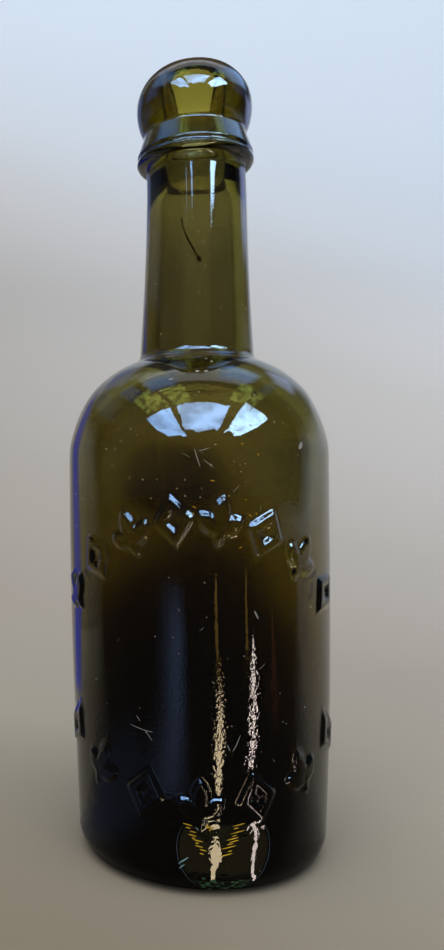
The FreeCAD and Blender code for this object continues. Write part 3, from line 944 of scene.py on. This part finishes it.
for name, (color, radiance, rows) in strips.items():
    mirrorSheet(name, [[(x, y, lights["stripZ"]) for x, y in row] for row in rows], [[1, 1]] * len(rows),
                [c * lights[radiance] for c in color])

# A dark card on the floor in front, which fades in away from the bottle
mirrorSheet("darkCard", [[(x, y, lights["cardZ"]) for x in lights["cardXs"]] for y in lights["cardYs"]],
            [[0, 0], [1, 1], [1, 1]], lights["cardColor"], False)

# Dark cards on either side behind the bottle, which give the glass its dark edges: which side,
# a line of (x, y, darkness) seen from above, and (height, darkness), in millimetres
darkSides = {
    "darkSideLow": (-1, ((340, -100, 0), (300, 20, 0.8), (240, 200, 1), (190, 270, 0)),
                    ((0, 0.8), (120, 0.95), (170, 0.9), (220, 0))),
    "darkSideLeft": (-1, ((340, -100, 0), (300, -20, 1), (240, 160, 1), (210, 240, 0)),
                     ((170, 0), (220, 0.9), (500, 0.9), (600, 0))),
    "darkSideRight": (1, ((340, -100, 0), (300, -20, 1), (220, 200, 1), (170, 280, 0)),
                      ((150, 0), (210, 0.9), (500, 0.9), (600, 0))),
}
for name, (sign, line, rows) in darkSides.items():
    mirrorSheet(name, [[(sign * x, y, z) for x, y, k in line] for z, amount in rows],
                [[k * amount for x, y, k in line] for z, amount in rows], lights["cardColor"], False)
# one high up behind, so that the lip and shoulder have no pale top edge
darkTop = {"y": 380, "xs": (-420, -260, 260, 420), "zs": (400, 520, 1100, 1300), "dark": 0.95}
mirrorSheet("darkTop", [[(x, darkTop["y"], z) for x in darkTop["xs"]] for z in darkTop["zs"]],
            [[k * amount for k in (0, 1, 1, 0)] for amount in (0, darkTop["dark"], darkTop["dark"], 0)],
            lights["cardColor"], False)

# Blue and grey glows of the sky down the sides: how far away, colour, and rows of (height,
# middle angle seen from above, half its angle, how much it glows)
glows = {
    "glowLeft": (150, (0.05, 0.09, 0.72), (
        (2, 141, 11, 0.7), (24, 145, 11, 1), (36, 147, 11, 1), (58, 149, 10, 1), (92, 146, 10, 1),
        (130, 145, 11, 1), (160, 141, 12, 0.8), (173, 134, 10, 0.5), (186, 130, 9, 0))),
    "sheenLeft": (172, (0.48, 0.50, 0.42), (
        (2, 165, 22, 0.2), (40, 166, 22, 0.35), (78, 166, 22, 0.5), (100, 162, 22, 0.9),
        (135, 160, 22, 1), (150, 160, 20, 0.6), (168, 158, 18, 0))),
    "glowHighLeft": (150, (0.25, 0.32, 0.62), (
        (188, 126, 12, 0), (205, 128, 16, 1), (255, 138, 22, 1), (285, 140, 20, 0))),
    "glowRight": (150, (0.80, 1.0, 1.7), (
        (185, 38, 17, 0), (205, 38, 17, 1), (240, 38, 17, 1), (265, 40, 17, 0))),
    "glowLipLeft": (150, (0.04, 0.20, 0.75), (
        (230, 182, 20, 0), (245, 182, 20, 1), (290, 182, 20, 1), (315, 182, 18, 0))),
    "glowLipRight": (150, (0.03, 0.11, 0.40), (
        (236, 5, 20, 0), (248, 5, 20, 1), (270, 5, 20, 1), (290, 5, 18, 0))),
    "sheenNeck": (150, (0.13, 0.18, 0.30), (
        (172, 168, 26, 0), (182, 168, 26, 1), (206, 168, 26, 1), (222, 168, 26, 0.5), (240, 168, 26, 0))),
}
for name, (far, color, rows) in glows.items():
    points = []
    for z, middle, half, amount in rows:
        a = np.radians(middle + half * np.array((1, 0.5, -0.5, -1)))
        points.append(list(zip(far * np.cos(a), far * np.sin(a), np.full(4, float(z)))))
    mirrorSheet(name, points, [[0, amount, amount, 0] for z, middle, half, amount in rows], color)

# Level glows over the collar and on the floor to the left: height, xs, ys and colour
levelGlows = {
    "glowCollarLeft": (245, (-92, -76, -42, -26), (-62, -40, -10, 12), (0.50, 1.08, 2.2)),
    "glowCollarRight": (243, (28, 42, 80, 96), (-32, -8, 35, 58), (0.75, 1.4, 2.7)),
    "glowFloorLeft": (0.95, (-120, -85, -45, -30), (-85, -65, -15, 5), (0.086, 0.10, 0.153)),
}
for name, (z, xs, ys, color) in levelGlows.items():
    mirrorSheet(name, [[(x, y, z) for x in xs] for y in ys],
                [[a * k for a in (0, 1, 1, 0)] for k in (0, 1, 1, 0)], color)

# A soft blue band on the floor, brightest right of its middle: steps go from 0 at its left edge
# to 1 at its right edge and past both, amounts are how much each step and each row glows
band = {
    "left": ((-230, -470), (-121, -241), (-74, -145), (-60, -92), (-62, -60)),
    "right": ((-90, -480), (-50, -265), (-30, -160), (-19, -102), (-13, -74)),
    "steps": (-0.6, -0.2, 0.15, 0.45, 0.7, 0.9, 1.15), "amounts": (0, 0.1, 0.4, 0.85, 1, 0.5, 0),
    "rowAmounts": (0, 1, 1, 0.7, 0.5), "height": 0.9, "color": (0.32, 0.44, 0.78),
}
mirrorSheet("blueBand",
            [[(*(np.array(a) * (1 - k) + np.array(b) * k), band["height"]) for k in band["steps"]]
             for a, b in zip(band["left"], band["right"])],
            [[k * amount for k in band["amounts"]] for amount in band["rowAmounts"]], band["color"])


def dimWorld():
    # dark for reflections, pale for the view and for what is seen through the glass
    world = bpy.data.worlds.new("dim")
    world.use_nodes = True
    t = world.node_tree
    base = t.nodes["Background"]
    base.inputs[0].default_value = (*lights["world"], 1)
    pale = node(t, "ShaderNodeBackground", (0, 200), {0: (*lights["paleWorld"], 1)})
    path = node(t, "ShaderNodeLightPath", (-400, 300)).outputs
    seen = mathChain(t, (-200, 300), path["Is Camera Ray"], ("MAXIMUM", path["Is Transmission Ray"]))
    mix = node(t, "ShaderNodeMixShader", (200, 100), {0: seen, 1: base.outputs[0], 2: pale.outputs[0]})
    t.links.new(mix.outputs[0], t.nodes["World Output"].inputs[0])
    scene.world = world


dimWorld()
print("lights done")

# Camera: the photograph's close view, from just under the shoulder's foot. Turns are in radians and
# lengths in metres, the picture's focal length and centre in its pixels, the sensor in mm
view = {"distance": 0.20731, "height": 0.08932, "yaw": 0.13264, "pitch": 0.03125, "roll": 0.00409,
        "focal": 796.0, "centreX": 91.1, "centreY": 462.2, "wide": 444, "tall": 950,
        "sensor": 36, "nearest": 0.01}


def buildCamera():
    # turned about z by yaw, up by pitch, then about its own axis by roll
    v = view
    cy, sy, cp, sp = math.cos(v["yaw"]), math.sin(v["yaw"]), math.cos(v["pitch"]), math.sin(v["pitch"])
    right = np.array([cy, sy, 0])
    ahead = np.array([-sy * cp, cy * cp, sp])
    up = np.cross(right, ahead)
    c, s = math.cos(v["roll"]), math.sin(v["roll"])
    turned = np.c_[right * c - up * s, right * s + up * c, -ahead].tolist()
    data = bpy.data.cameras.new("photoCamera")
    data.sensor_width = v["sensor"]
    data.lens = v["focal"] / v["tall"] * v["sensor"]
    data.shift_x = (v["wide"] / 2 - v["centreX"]) / v["tall"]
    data.shift_y = (v["centreY"] - v["tall"] / 2) / v["tall"]
    data.clip_start = v["nearest"]
    obj = addObject("photoCamera", data)
    at = (0, -v["distance"], v["height"])
    obj.matrix_world = Matrix([(*row, t) for row, t in zip(turned, at)] + [(0, 0, 0, 1)])
    scene.camera = obj


buildCamera()
